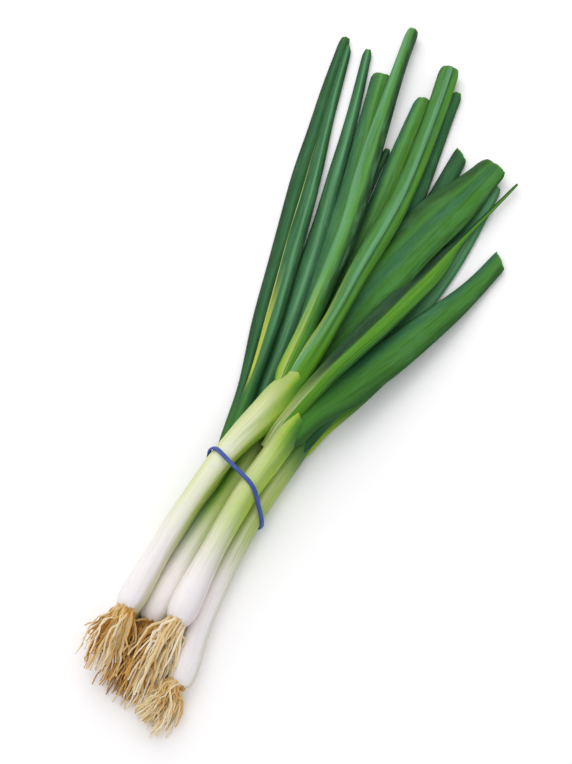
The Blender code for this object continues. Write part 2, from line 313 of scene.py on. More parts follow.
class Course:
    """The middle line of a long solid, with its half width and half height on the way."""

    def __init__(self, node):
        triangles = node_triangles(node)
        corners = triangles.reshape(-1, 3)
        middle = corners.mean(axis=0)
        axis = np.linalg.svd(corners - middle, full_matrices=False)[2][0]
        axis = axis * np.sign(axis @ ALONG)
        reach = (corners - middle) @ axis
        spans = np.ptp(reach)
        steps = np.linspace(reach.min() + 0.03 * spans, reach.max() - 0.065 * spans, STATIONS)
        centres = middle + steps[:, None] * axis
        directions = np.tile(axis, (STATIONS, 1))
        for _ in range(4):
            sections = [self.section(triangles, c, d) for c, d in zip(centres, directions)]
            centres = smoothed(np.array([s[0] for s in sections]))
            halves = np.array([s[1] for s in sections])
            directions = unit(np.gradient(centres, axis=0))
        self.set_ends(corners, centres, directions, halves)

    def section(self, triangles, centre, direction):
        side, over = sideways(direction)
        points = slice_points(triangles, centre, direction) - centre
        points = points[np.linalg.norm(points, axis=1) < SECTION_REACH]
        across = points @ side
        above = points @ over
        shift = side * (across.max() + across.min()) / 2 + over * (above.max() + above.min()) / 2
        return centre + shift, (np.ptp(across) / 2, np.ptp(above) / 2)

    def set_ends(self, corners, centres, directions, halves):
        """Carries the line on to both ends of the solid, and measures how its far end slants."""
        first, last = (corners - centres[end] for end in (0, -1))
        back = (first[np.linalg.norm(first, axis=1) < END_REACH] @ directions[0]).min()
        near = last[np.linalg.norm(last, axis=1) < END_REACH]
        ahead = near @ directions[-1]
        across = near @ unit(np.cross(directions[-1], UP))
        right = ahead[across > halves[-1, 0] * 0.5].max()
        left = ahead[across < halves[-1, 0] * -0.5].max()
        start = centres[0] + directions[0] * back
        end = centres[-1] + directions[-1] * (right + left) / 2
        self.slant = (right - left) / (2 * halves[-1, 0])
        self.points = np.vstack([start, centres, end])
        self.directions = np.vstack([directions[:1], directions, directions[-1:]])
        self.halves = smoothed(np.vstack([halves[:1], halves, halves[-1:]]), 2)
        self.measure()

    def relax(self, flat_passes, height_passes):
        """Draws the line straighter between its ends, seen from above and from the side."""
        heights = smoothed(self.points[:, 2], height_passes)
        self.points = smoothed(self.points, flat_passes)
        self.points[:, 2] = heights
        self.directions = unit(np.gradient(self.points, axis=0))
        self.measure()

    def measure(self):
        """Measures how far along the line each of its points is."""
        steps = np.linalg.norm(np.diff(self.points, axis=0), axis=1)
        self.runs = np.concatenate([[0], np.cumsum(steps)])
        self.length = self.runs[-1]

    def along(self, runs, rows):
        return np.stack([np.interp(runs, self.runs, column) for column in rows.T], axis=-1)

    def at(self, runs):
        """Centre, side and upward vectors, direction, and half width and height at these runs."""
        inside = np.clip(runs, 0, self.length)
        direction = unit(self.along(inside, self.directions))
        centre = self.along(inside, self.points) + direction * (runs - inside)[:, None]
        side, over = sideways(direction)
        halves = self.along(inside, self.halves)
        return centre, side, over, direction, halves[:, 0], halves[:, 1]

    def run_near(self, point):
        """The run at which the line passes nearest to a point."""
        return self.runs[np.linalg.norm(self.points - point, axis=1).argmin()]


# Modelling helpers

def clear_selection():
    if bpy.context.object and bpy.context.object.mode != "OBJECT":
        bpy.ops.object.mode_set(mode="OBJECT")
    bpy.ops.object.select_all(action="DESELECT")


def named_piece(name):
    """The piece just added, under its name."""
    piece = bpy.context.object
    piece.name = name
    piece.data.name = name
    return piece


def start_tube(name, sides, rings, radius, length, centre, both_ends=False):
    """A straight tube at its size and place, cut into rings along its length."""
    clear_selection()
    bpy.ops.mesh.primitive_cylinder_add(
        vertices=sides, radius=radius, depth=length, end_fill_type="NGON" if both_ends else "NOTHING",
        location=Vector(centre), rotation=(-math.pi / 2, 0, 0))
    tube = named_piece(name)
    bpy.ops.object.mode_set(mode="EDIT")
    bpy.ops.mesh.select_mode(type="EDGE")
    bpy.ops.mesh.select_all(action="DESELECT")
    for edge in bmesh.from_edit_mesh(tube.data).edges:
        edge.select = abs(edge.verts[0].co.z - edge.verts[1].co.z) > length / 2
    bmesh.update_edit_mesh(tube.data)
    bpy.ops.mesh.subdivide(number_cuts=rings - 2)
    bpy.ops.mesh.select_all(action="SELECT")
    bpy.ops.mesh.select_mode(type="VERT")
    bpy.ops.object.mode_set(mode="OBJECT")
    return tube


def vertex_points(piece):
    points = np.empty(len(piece.data.vertices) * 3)
    piece.data.vertices.foreach_get("co", points)
    return points.reshape(-1, 3)


def tube_coordinates(tube):
    """The angle round a straight tube and the share of its length, for each of its points."""
    points = vertex_points(tube)
    height = points[:, 2]
    share = (height - height.min()) / np.ptp(height)
    return -np.arctan2(points[:, 1], points[:, 0]), share


def place_points(piece, points):
    """Puts a piece's points at their places, with the object itself at the origin."""
    piece.matrix_basis.identity()
    piece.data.vertices.foreach_set("co", points.astype(np.float32).ravel())
    piece.data.update()


def store_vector(piece, name, *columns):
    """Keeps three numbers for each point, for the materials to read."""
    made = piece.data.attributes.new(name, "FLOAT_VECTOR", "POINT")
    rows = np.stack(columns, axis=-1).astype(np.float32)
    made.data.foreach_set("vector", rows.ravel())


def link_new(name, data):
    made = bpy.data.objects.new(name, data)
    bpy.context.collection.objects.link(made)
    return made


def make_active(piece):
    clear_selection()
    piece.select_set(True)
    bpy.context.view_layer.objects.active = piece


def apply_wall(piece, thickness):
    """Gives an open tube its wall, inwards from its skin."""
    make_active(piece)
    wall = piece.modifiers.new("wall", "SOLIDIFY")
    wall.thickness = thickness
    bpy.ops.object.modifier_apply(modifier=wall.name)


def finish_piece(piece, material, node, angle=60):
    """Smooths a piece, gives it its material, puts it under the root body and hides the solid it stands
    for.
    """
    make_active(piece)
    bpy.ops.object.shade_smooth_by_angle(angle=math.radians(angle))
    piece.data.materials.clear()
    piece.data.materials.append(material)
    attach(piece, "root")
    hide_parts(node)


def section_points(centre, side, over, direction, across, above, ahead):
    """Points this far to the side, upwards and ahead of the centres of their cross-sections."""
    return centre + side * across[:, None] + over * above[:, None] + direction * ahead[:, None]


def start_skin(name, course, sides, rings):
    """A straight tube as long as a course, with the angle and share of length of its points."""
    middle = course.points.mean(axis=0)
    tube = start_tube(name, sides, rings, course.halves.mean(), course.length, middle)
    return (tube, *tube_coordinates(tube))


def finish_skin(tube, points, theta, run, place, wall, material, node):
    """Places a tube's points above the floor, keeps what its material reads, and gives it a wall."""
    points[:, 2] = np.maximum(points[:, 2], FLOOR_GAP)
    place_points(tube, points)
    store_vector(tube, "place", *place)
    store_vector(tube, "grain", np.cos(theta), np.sin(theta), run * PER_CM)
    apply_wall(tube, wall)
    finish_piece(tube, material, node)


def wrapped(angles):
    return (angles + math.pi) % (2 * math.pi) - math.pi


def bulged(values, power):
    """Values raised to a power, with their signs kept."""
    return np.sign(values) * np.abs(values) ** power


def waves(values, rng, lengths, heights):
    """A sum of slow waves of these lengths and heights, each from its own random start."""
    total = np.zeros_like(values)
    for length, height in zip(lengths, heights):
        total += height * np.sin(values * 2 * math.pi / length + rng.uniform(0, 2 * math.pi))
    return total


def eased(values, shares, heights, passes):
    """Reads a smooth curve through these heights at these shares of a length."""
    grid = np.linspace(0, 1, 81)
    return np.interp(values, grid, smoothed(np.interp(grid, shares, heights), passes))


def curve(values, text, passes):
    """Reads a smooth curve from text such as "0 0.5, 1 2": shares of a length and heights."""
    return eased(values, *np.array([part.split() for part in text.split(",")], dtype=float).T, passes)


def stops(text):
    """Ramp stops from text such as "-1 moss, 1 leaf": places across from -1 to 1, and colours."""
    pairs = [part.split() for part in text.split(",")]
    return [((float(place) + 1) / 2, PALETTE[name]) for place, name in pairs]


# Leaves

STRAIGHT = "0 0, 1 0"
BROAD_SHARES = (0.1, 0.4, 0.7, 0.87, 1.0)


@dataclass
class LeafStyle:
    """How one leaf is folded, striped, coloured, widened on its way and shifted to its right, in mm."""

    folds: tuple
    body: str
    young: str
    youth: float = 30
    bloom: float = 0.3
    # Line is the strength of the painted highlight along the folds.
    line: float = 0.0
    edge: float = 1.2
    base: float = 2.0
    broad: tuple = (1.1, 1.08, 1.1, 1.1, 1.05)
    shifts: str = STRAIGHT
    tip: float = 0.8
    ahead: float = 0.0
    stripe: tuple = None


# Colours for leaves that lie under others: green darkened as painted shade.
SHADE_DARKENED_LEAF = "-1 pine, -0.4 teal, 0.3 teal, 0.8 pine, 1 night"
YOUNG = "-1 lime, 0 grass, 1 lime"

# Folds are (angle round the leaf, depth as a share of the radius, width of the fold), in degrees:
# 0 is the right edge, 90 the top and 180 the left edge. A depth below 0 is a groove.
# Body and young colours run across a leaf from its left edge at -1 to its right edge at 1. Besides the
# leaf's own streaks they hold painted light and shade: pale blue-green highlight stripes, and near-black
# or darker greens on edges and sides that lie in shade.
LEAF_STYLES = {
    "onion_1_leaf_1": LeafStyle(
        ((78, -0.16, 12), (106, 0.05, 14)),
        "-1 leaf, -0.7 mist, -0.1 fresh, 0.15 fresh, 0.3 leaf, 0.42 moss, 1 night",
        "-1 grass, -0.6 lime, -0.2 sage, 0.1 grass, 0.5 leaf, 1 leaf", youth=55, bloom=0.4,
        base=3.8, broad=(1.2, 1.1, 1.2, 1.12, 1.12),
        shifts="0 1.4, 0.1 0.8, 0.2 0.3, 0.28 0.6, 0.4 2.2, 0.52 2.2, 0.64 1.5, 0.8 0.6, 1 0.2",
        tip=0.84),
    "onion_1_leaf_2": LeafStyle(
        ((58, -0.22, 10), (84, 0.07, 12), (120, -0.06, 12)),
        "-1 moss, -0.7 leaf, -0.3 leaf, 0 mist, 0.2 mist, 0.35 leaf, 0.45 moss, 0.6 leaf, "
        "0.8 grass, 1 leaf",
        "-1 lime, -0.6 sage, -0.3 mist, 0.1 grass, 0.4 grass, 0.8 grass, 1 leaf", youth=60,
        bloom=0.3, line=0.25, base=4.6, broad=(1.2, 1.2, 1.12, 1.14, 1.14),
        shifts="0 0.6, 0.1 -0.4, 0.18 -1.3, 0.26 -1.8, 0.35 -2.1, 0.43 -1.6, 0.53 -0.4, 1 0", tip=0.88),
    "onion_2_leaf_1": LeafStyle(
        ((96, -0.07, 16), (130, -0.05, 12), (40, 0.04, 16)),
        "-1 pine, -0.6 teal, -0.1 leaf, 0.4 leaf, 0.8 moss, 1 pine",
        "-1 grass, -0.4 leaf, 0.2 leaf, 0.6 leaf, 1 moss", youth=40, bloom=0.2, base=4.6,
        broad=(1.15, 1.04, 1.05, 1.05, 1.1), tip=0.94),
    "onion_2_leaf_2": LeafStyle(
        ((110, -0.4, 24),), "-1 pine, -0.5 night, -0.15 moss, 0.05 grass, 0.5 grass, 0.9 leaf, 1 pine",
        "-1 grass, -0.4 sage, 0 dew, 0.3 grass, 1 grass", youth=34, bloom=0.08, edge=1.0, base=3.0,
        broad=(1.5, 2.0, 2.1, 1.5, 0.9), shifts="0 0, 0.3 -0.6, 0.6 -2.5, 0.8 -1.6, 1 0", tip=0.8),
    "onion_3_leaf_1": LeafStyle(
        ((90, -0.06, 20),), "-1 night, -0.5 pine, 0.2 teal, 0.8 pine, 1 night", SHADE_DARKENED_LEAF, bloom=0.15,
        broad=(1.1, 1.1, 1.2, 1.25, 1.2), tip=0.9),
    "onion_3_leaf_2": LeafStyle(
        ((90, -0.06, 20),), "-1 moss, -0.5 leaf, 0.2 fresh, 0.7 leaf, 1 moss", YOUNG),
    "onion_3_leaf_3": LeafStyle(
        ((80, -0.08, 20),), "-1 teal, 0 teal, 0.6 mist, 1 teal", SHADE_DARKENED_LEAF,
        broad=(1.1, 1.4, 1.6, 1.5, 1.1), shifts="0 0, 0.4 -1.2, 1 -1.8"),
    "onion_3_leaf_4": LeafStyle(
        ((95, -0.1, 18),), SHADE_DARKENED_LEAF, SHADE_DARKENED_LEAF, bloom=0.25, broad=(1.1, 1.35, 1.4, 1.25, 1.05), tip=0.7),
    "onion_4_leaf_1": LeafStyle(
        ((100, -0.06, 18), (60, -0.06, 12)), "-1 pine, -0.6 teal, 0.1 fresh, 0.6 leaf, 1 moss", YOUNG,
        broad=(1.1, 1.2, 1.2, 1.15, 1.15), shifts="0 0, 0.4 -0.6, 0.8 -0.9, 1 -1.0", tip=0.84),
    "onion_4_leaf_2": LeafStyle(
        ((90, -0.08, 20),), "-1 night, 0 pine, 0.5 pine, 1 night", SHADE_DARKENED_LEAF,
        broad=(1.1, 1.5, 1.5, 1.2, 1.0)),
    "onion_4_leaf_3": LeafStyle(
        ((112, -0.08, 16), (70, 0.04, 12)), "-1 teal, -0.7 teal, -0.2 fresh, 0.2 leaf, 0.5 grass, 1 moss",
        "-1 teal, -0.3 mist, 0.2 leaf, 0.6 grass, 1 moss", bloom=0.35, broad=(1.1, 1.4, 1.4, 1.3, 1.1),
        shifts="0 0, 0.4 -0.6, 1 0.6", tip=0.75),
    "onion_4_leaf_4": LeafStyle(
        ((112, -0.05, 22), (80, -0.04, 12), (45, 0.03, 16)),
        "-1 pine, -0.6 moss, -0.3 leaf, 0.1 teal, 0.35 leaf, 0.6 leaf, 0.8 leaf, 1 moss",
        "-1 moss, 0 pine, 0.4 moss, 0.8 leaf, 1 moss", youth=70, bloom=0.22, base=3.0,
        broad=(1.1, 1.5, 1.4, 1.28, 1.22), shifts="0 0, 0.25 -1.4, 0.45 -1.5, 0.7 -0.9, 1 -0.6", tip=0.8),
    "onion_5_leaf_1": LeafStyle(
        ((100, -0.08, 20),), "-1 night, -0.5 pine, 0 teal, 0.4 pine, 1 moss", "-1 moss, 0 leaf, 1 moss",
        bloom=0.15, base=2.3, broad=(1.15, 1.15, 1.5, 1.65, 1.5),
        shifts="0 0, 0.13 -0.6, 0.5 -0.5, 0.68 -1.3, 0.84 -1.1, 1 0.5", tip=0.78),
    "onion_5_leaf_2": LeafStyle(
        ((95, -0.1, 18),), "-1 pine, -0.4 teal, 0.1 mist, 0.4 teal, 1 night",
        "-1 moss, -0.2 teal, 0.3 teal, 1 pine", bloom=0.2, base=3.4, broad=(1.5, 1.9, 1.6, 1.3, 1.15),
        shifts="0 -0.8, 0.3 -0.7, 0.5 0, 0.65 0.5, 1 0.8", tip=0.7),
    "onion_5_leaf_3": LeafStyle(
        ((122, -0.14, 12), (84, 0.05, 12)),
        "-1 dew, -0.93 leaf, -0.8 pine, -0.5 teal, -0.1 teal, 0.2 mist, 0.45 teal, 0.7 pine, 1 night",
        "-1 pine, -0.4 leaf, -0.1 leaf, 0.2 moss, 0.5 teal, 1 pine", stripe=(20, 54), youth=72,
        bloom=0.25, base=3.2, broad=(1.2, 1.1, 1.35, 1.6, 1.3), ahead=11.5,
        shifts="0 0, 0.15 -0.4, 0.3 -0.4, 0.5 0, 0.7 -0.6, 0.85 -1.5, 1 -1.0", tip=0.45),
}


def leaf_material(name, style, seed):
    skin = Skin(name)
    share, across, fold = skin.numbers(skin.attribute("place"), 0, 1, 2)
    grain = skin.attribute("grain")
    (run,) = skin.numbers(grain, 2)
    moved = skin.moved(grain, seed * LEAF_PATTERN_STEP)
    broad = skin.grains(moved, 1.5, 0.35, 2.0)
    streaks = skin.grains(moved, 7.0, 0.25, 3.0)
    veins = skin.grains(moved, 26.0, 0.3, 2.0)
    patches = skin.grains(moved, 2.2, 0.8, 4.0, 0.6)
    flecks = skin.grains(moved, 14.0, 8.0, 2.0)
    wander = (across + 1) * 0.5 + (broad - 0.5) * 0.22 + (streaks - 0.5) * 0.12
    # These ramps carry the leaf's own streaks together with painted highlight stripes and painted shade on
    # its sides and edges.
    body = skin.ramp(wander, stops(style.body))
    young = skin.ramp(wander, stops(style.young))
    aged = skin.step(run + (streaks - 0.5) * 1.4, 0.0, style.youth * MM * PER_CM)
    colour = skin.mix(aged, young, body)
    colour = skin.tint(colour, streaks, 0.42, 0.75, 0.65, "moss")
    colour = skin.tint(colour, veins, 0.5, 0.8, 0.22, "fresh")
    # Painted highlight: a pale line laid along every fold.
    colour = skin.mix(fold * style.line, colour, "mist")
    if style.stripe:
        low, high = (distance / 10 for distance in style.stripe)
        wedge = skin.step(run, low, low + 1.5) * skin.step(run, high + 3, high - 1) * 0.8
        wedge *= skin.step(wander - run * 0.02, 0.22, 0.12)
        colour = skin.mix(wedge, colour, "butter")
    bloom = skin.step(patches, 0.4, 0.75) * style.bloom * aged
    colour = skin.mix(bloom, colour, "mist")
    colour = skin.tint(colour, flecks, 0.62, 0.8, 0.12, "fresh")
    colour = skin.tint(colour, share, 0.988, 1.0, 0.35, "grass")
    height = veins * 0.6 + streaks * 0.8 + flecks * 0.15
    roughness = 0.56 + bloom * 0.25 + (streaks - 0.5) * 0.2
    return skin.close(colour, roughness, 0.18, (height, 0.35, 0.25 * MM), (0.06, (0.6, 1.0, 0.3)))


def model_leaf(node, style, wall, seed):
    """One hollow leaf from inside its shaft to its cut end."""
    course = Course(node)
    course.relax(90, 30)
    rng = np.random.default_rng(seed)
    name = node.replace("leaf", "blade")
    tube, theta, share = start_skin(name, course, LEAF_SIDES, LEAF_RINGS)
    length = course.length + style.ahead * MM
    run = -LEAF_ROOT + share * (length + LEAF_ROOT)
    grown = smooth_step(run, -2 * MM, 22 * MM)
    radial = 1.0 + waves(run, rng, (37 * MM, 83 * MM), (0.012, 0.02))
    crease = np.zeros_like(run)
    for angle, depth, width in style.folds:
        away = wrapped(theta - math.radians(angle)) / math.radians(width)
        radial += grown * depth * np.exp(-away * away)
        crease = np.maximum(crease, grown * np.exp(-away * away * 6))
    *axes, half_width, half_height = course.at(run)
    taper = 0.6 + 0.4 * smooth_step(run, -LEAF_ROOT, 0.0)
    half_width = half_width * eased(share, BROAD_SHARES, style.broad, 12)
    base = style.base * MM * (1 - smooth_step(run, 0, LEAF_BASE_FADE))
    half_width = (half_width ** 6 + base ** 6) ** (1 / 6)
    near_tip = np.clip((run - length + LEAF_TIP) / LEAF_TIP, 0, 1)
    half_width = half_width * (1 - (1 - style.tip) * near_tip ** 2.5)
    half_width = half_width * taper * radial
    half_height = half_height * taper * radial
    across = np.cos(theta)
    above = bulged(np.sin(theta), 1 + (style.edge - 1) * grown)
    sway = waves(run, rng, (61 * MM, 140 * MM), (0.12 * MM, 0.3 * MM)) * grown
    sway += curve(share, style.shifts, 24) * MM
    ragged = waves(theta, rng, (1.3, 0.7), (0.12 * MM, 0.08 * MM))
    end = smooth_step(run, length - LEAF_END, length)
    ahead = end * (course.slant * across * half_width + ragged)
    points = section_points(*axes, across * half_width + sway, above * half_height, ahead)
    place = (share, across, crease)
    material = leaf_material(name, style, seed)
    finish_skin(tube, points, theta, run, place, wall, material, node)


# Shafts

@dataclass
class ShaftStyle:
    """How one shaft is coloured at its bulb, band, neck and lip, and how its collar opens.

    The collar stands highest at its angle, in degrees. Depth, reach, shifts and rise are in mm.
    """

    bulb: str
    band: str
    neck: str
    lip: str
    collar: float = 90
    depth: float = -6
    reach: float = 0
    broad: str = "0 1, 1 1"
    shifts: str = STRAIGHT
    rise: str = STRAIGHT
    mottled: float = 0.0


# Each ramp runs across a shaft from its left side at -1 to its right side at 1. Besides the shaft's own
# tones it holds painted light and shade on its sides: a shaded side painted lighter on onion 1, and greyer
# or darker edges and sides elsewhere.
SHAFT_STYLES = {
    "onion_1_stem": ShaftStyle(
        "-1 white, -0.4 white, 0.6 white, 0.86 ash, 1 cream",
        "-1 dew, -0.7 cream, -0.2 milk, 0.1 milk, 0.5 milk, 0.8 cream, 1 lime",
        "-1 sage, -0.6 dew, -0.3 cream, 0.1 dew, 0.3 sage, 0.6 lime, 0.85 lime, 1 grass",
        "-1 lime, -0.5 sage, 0 sage, 0.2 lime, 0.5 grass, 1 leaf", collar=84, depth=-5, reach=-2,
        broad="0 1, 0.5 1, 0.65 1.1, 0.78 1.25, 0.9 1.25, 1 1.15",
        shifts="0 0, 0.62 0, 0.72 1.0, 0.82 2.3, 0.9 2.9, 1 2.9", mottled=0.16),
    "onion_2_stem": ShaftStyle(
        "-1 white, 0.6 white, 1 blush", "-1 sage, -0.5 dew, 0.2 pale, 0.7 sage, 1 lime",
        "-1 olive, -0.4 sage, 0 lime, 0.3 lime, 0.7 grass, 1 grass",
        "-1 dew, -0.5 sage, -0.1 lime, 0.3 grass, 0.6 leaf, 1 moss", collar=110, depth=-6, reach=3,
        broad="0 1, 0.6 1, 0.75 0.94, 1 0.9", shifts="0 0, 0.65 0, 0.8 1.0, 1 1.2"),
    "onion_3_stem": ShaftStyle(
        "-1 ash, -0.5 white, 0.8 white, 1 ash", "-1 lime, -0.5 sage, 0 sage, 0.4 dew, 0.7 sage, 1 sage",
        "-1 moss, -0.5 leaf, 0 grass, 0.5 grass, 1 leaf", "-1 moss, 0 leaf, 1 moss", collar=60, depth=-8),
    # Painted shade: the left side, where onion 1's shadow falls, is darker green, and the neck and lip are
    # dark moss where this shaft lies deep in shade.
    "onion_4_stem": ShaftStyle(
        "-1 white, 0.6 white, 1 cream", "-1 leaf, -0.6 grass, -0.1 sage, 0.5 sage, 1 sage",
        "-1 moss, 0 moss, 1 moss", "-1 moss, 1 moss", collar=100,
        broad="0 1, 0.2 1.15, 0.5 1.35, 0.7 1.2, 1 1",
        shifts="0 -0.8, 0.1 -1.6, 0.3 -1.5, 0.5 -0.8, 0.7 0, 1 0",
        rise="0 0.3, 0.1 1.0, 0.3 1.6, 0.45 1.6, 0.65 0, 1 0"),
    "onion_5_stem": ShaftStyle(
        "-1 blush, -0.3 white, 0.6 white, 1 cream", "-1 grass, -0.4 lime, 0.4 pale, 1 lime",
        "-1 leaf, 0 grass, 1 leaf", "-1 moss, 1 leaf", collar=100),
}


def shaft_material(name, style, seed):
    skin = Skin(name)
    from_band, across, rim = skin.numbers(skin.attribute("place"), 0, 1, 2)
    moved = skin.moved(skin.attribute("grain"), seed * SHAFT_PATTERN_STEP)
    broad = skin.grains(moved, 1.6, 0.4, 2.0)
    streaks = skin.grains(moved, 8.0, 0.3, 3.0)
    veins = skin.grains(moved, 30.0, 0.25, 2.0)
    mottle = skin.grains(moved, 4.0, 3.0, 4.0)
    wander = (across + 1) * 0.5 + (broad - 0.5) * 0.16 + (streaks - 0.5) * 0.12
    place_along = from_band + (streaks - 0.5) * 1.6 + (broad - 0.5) * 1.2
    greening = skin.step(place_along, -4.4, -0.6)
    colour = skin.ramp(wander, stops(style.bulb))
    colour = skin.mix(greening, colour, skin.ramp(wander, stops(style.band)))
    colour = skin.mix(skin.step(place_along, 0.4, 3.2), colour, skin.ramp(wander, stops(style.neck)))
    lines = skin.step(streaks, 0.5, 0.8) * 0.35 + skin.step(veins, 0.5, 0.8) * 0.25
    shade = skin.mix(greening, "ash", "lime")
    colour = skin.mix(lines, colour, shade)
    colour = skin.mix(skin.step(mottle, 0.5, 0.8) * 0.3 * (1 - greening), colour, "blush")
    spots = skin.grains(moved, 11.0, 6.0, 2.0)
    colour = skin.mix(skin.step(spots, 0.5, 0.72) * greening * style.mottled, colour, "ash")
    colour = skin.mix(rim, colour, skin.ramp(wander, stops(style.lip)))
    height = veins * 0.5 + streaks + mottle * 0.2
    roughness = 0.5 + (mottle - 0.5) * 0.2
    flesh = (0.4, (2.2, 2.0, 1.2))
    return skin.close(colour, roughness, 0.32, (height, 0.3, 0.2 * MM), flesh, 0.04)


def band_middle():
    low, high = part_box("rubber_band")
    return (np.array(low) + np.array(high)) / 2


def model_shaft(node, style, wall, seed):
    """One bulb and shaft, open at its V-shaped collar."""
    course = Course(node)
    rng = np.random.default_rng(seed)
    name = node.replace("stem", "shaft")
    tube, theta, share = start_skin(name, course, SHAFT_SIDES, SHAFT_RINGS)
    length = course.length + style.reach * MM
    run = share * length
    *axes, half_width, half_height = course.at(run)
    grown = smooth_step(run, 10 * MM, 40 * MM)
    radial = 1.0 + waves(run, rng, (23 * MM, 51 * MM), (0.008, 0.014)) * grown
    for angle in rng.uniform(0, 2 * math.pi, 5):
        away = wrapped(theta - angle - waves(run, rng, (60 * MM,), (0.15,))) / 0.16
        radial += grown * 0.022 * np.exp(-away * away)
    flare = smooth_step(run, length - COLLAR_REACH, length)
    closing = 1 - 0.12 * smooth_step(run, length - SHAFT_CLOSING, length)
    shoulder = np.clip(run / BULB_SHOULDER, 0, 1)
    radial *= closing * (0.5 + 0.5 * np.sqrt(1 - (1 - shoulder) ** 2))
    near = 1 - np.abs(wrapped(theta - math.radians(style.collar))) / math.pi
    ahead = flare * (style.depth * MM) * (0.45 - near ** 1.6)
    across = np.cos(theta)
    half_width = half_width * curve(share, style.broad, 8)
    sway = curve(share, style.shifts, 8) * MM
    lift = curve(share, style.rise, 8) * MM
    above = np.sin(theta) * half_height * radial + lift
    points = section_points(*axes, across * half_width * radial + sway, above, ahead)
    from_band = run - course.run_near(band_middle())
    rim = smooth_step(run + ahead * 0.6, length - RIM_FADE, length - 1 * MM)
    place = (from_band * PER_CM, across, rim)
    material = shaft_material(name, style, seed)
    finish_skin(tube, points, theta, run, place, wall, material, node)


# Roots

@dataclass
class TuftStyle:
    """How one tuft's strands are toned, from 0 for brown to 1 for nearly white, and how they spread.

    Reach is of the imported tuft's length, and share of the usual number. The rest is in mm.
    """

    tones: tuple
    reach: tuple = (0.5, 1.0)
    fan: tuple = (-0.5, 2.8)
    shift: float = 0.0
    lean: float = 0.0
    share: float = 1.0


# Tones are partly the roots' own straw and brown and partly painted shade: the tufts of onions 4 and 5,
# which lie in shade under onion 1, are toned darker.
TUFT_STYLES = {
    "onion_1_roots": TuftStyle((0.05, 0.95), fan=(-0.5, 2.3), share=1.3),
    "onion_2_roots": TuftStyle((0.3, 1.0), reach=(0.6, 1.3), fan=(-0.8, 2.0), lean=2.2, share=1.3),
    "onion_3_roots": TuftStyle(
        (0.3, 1.0), reach=(0.5, 1.04), fan=(-0.8, 1.7), shift=3.5, lean=-1.2, share=1.5),
    "onion_4_roots": TuftStyle(
        (0.0, 0.36), reach=(0.4, 1.06), fan=(0.0, 2.8), shift=0.8, lean=-2.0, share=2.0),
    "onion_5_roots": TuftStyle((0.0, 0.5), share=1.3),
}


def root_material():
    skin = Skin("root_straw")
    tone, share = skin.numbers(skin.attribute("place"), 0, 1)
    grain = skin.attribute("grain")
    mottle = skin.grains(grain, 3.0, 1.2, 4.0)
    fibre = skin.grains(grain, 12.0, 1.0, 2.0)
    straw = skin.ramp(tone + (mottle - 0.5) * 0.5, [
        (0.0, linear(138, 86, 22)), (0.22, linear(210, 160, 74)), (0.5, linear(228, 200, 142)),
        (1.0, linear(250, 240, 216))])
    colour = skin.mix(skin.step(share, 0.2, 0.0) * 0.4, straw, linear(186, 142, 76))
    colour = skin.tint(colour, fibre, 0.55, 0.8, 0.3, linear(246, 236, 204))
    relief = (fibre + mottle, 0.4, 0.1 * MM)
    return skin.close(colour, 0.6 + (mottle - 0.5) * 0.3, 0.35, relief, (0.1, (0.5, 0.4, 0.2)))


def plate_material():
    skin = Skin("plate_brown")
    place = skin.node("ShaderNodeTexCoord", output=3)
    mottle = skin.noise(place, 900.0, 5.0)
    rings = skin.noise(place, 2600.0, 3.0)
    colour = skin.ramp(mottle, [
        (0.25, linear(124, 84, 40)), (0.5, linear(184, 134, 70)), (0.75, linear(220, 184, 118))])
    relief = (mottle + rings * 0.5, 0.6, 0.3 * MM)
    return skin.close(colour, 0.7 + (rings - 0.5) * 0.2, 0.5, relief)


def strand_template(thickness):
    """One straight root strand, as its angles, shares of its length, and faces."""
    strand = start_tube(
        "strand", STRAND_SIDES, STRAND_RINGS, thickness / 2, 20 * MM, (0, 0, 0), both_ends=True)
    theta, share = tube_coordinates(strand)
    faces = [list(face.vertices) for face in strand.data.polygons]
    bpy.data.meshes.remove(strand.data)
    return theta, share, faces


class RootCourse:
    """A tuft's middle line, which leaves the plate along the shaft and then droops to the floor."""

    def __init__(self, node):
        shaft = Course(node.replace("roots", "stem"))
        corners = node_triangles(node).reshape(-1, 3)
        self.start = shaft.points[0]
        self.first = -shaft.directions[1]
        reach = (corners - self.start) @ self.first
        self.end = corners[reach > reach.max() - 1.5 * MM].mean(axis=0)
        self.length = float(np.linalg.norm(self.end - self.start))

    def at(self, shares):
        """Points of the line, with its side and upward vectors and its direction."""
        shares = shares[:, None]
        rest = 1 - shares
        lead = self.start + self.first * self.length * 0.45
        points = self.start * rest ** 2 + lead * 2 * shares * rest + self.end * shares ** 2
        direction = unit(2 * rest * (lead - self.start) + 2 * shares * (self.end - lead))
        return points, *sideways(direction), direction


def strand_line(course, style, rng, knots):
    """The middle points of one strand, from the plate to its loose end."""
    angle = rng.uniform(0, 2 * math.pi)
    out = math.sqrt(rng.uniform(0.02, 1.0))
    centre, side, over, direction = course.at(knots * rng.uniform(*style.reach))
    centre -= direction * out * 1.6 * MM
    ease_in = smooth_step(knots, -0.1, 0.3)
    centre[:, 0] -= style.shift * MM * ease_in + style.lean * MM * knots
    start = STRAND_START * out
    fan = out * rng.uniform(*style.fan) * MM
    ease = smooth_step(knots, -0.25, 1.0)
    across = math.cos(angle) * (start + fan * ease)
    above = math.sin(angle) * (start + fan * ease * 0.8)
    steps = rng.normal(0, 0.38 * MM, (len(knots), 2)) + rng.normal(0, 0.25 * MM, 2)
    steps[rng.integers(2, len(knots) - 1)] += rng.normal(0, 1.3 * MM, 2)
    kinks = np.cumsum(steps, axis=0) * smooth_step(knots, 0, 0.4)[:, None]
    line = centre + side * (across + kinks[:, 0])[:, None] + over * (above + kinks[:, 1])[:, None]
    line[:, 2] = np.maximum(line[:, 2], rng.uniform(0.35, 1.2) * MM)
    return line


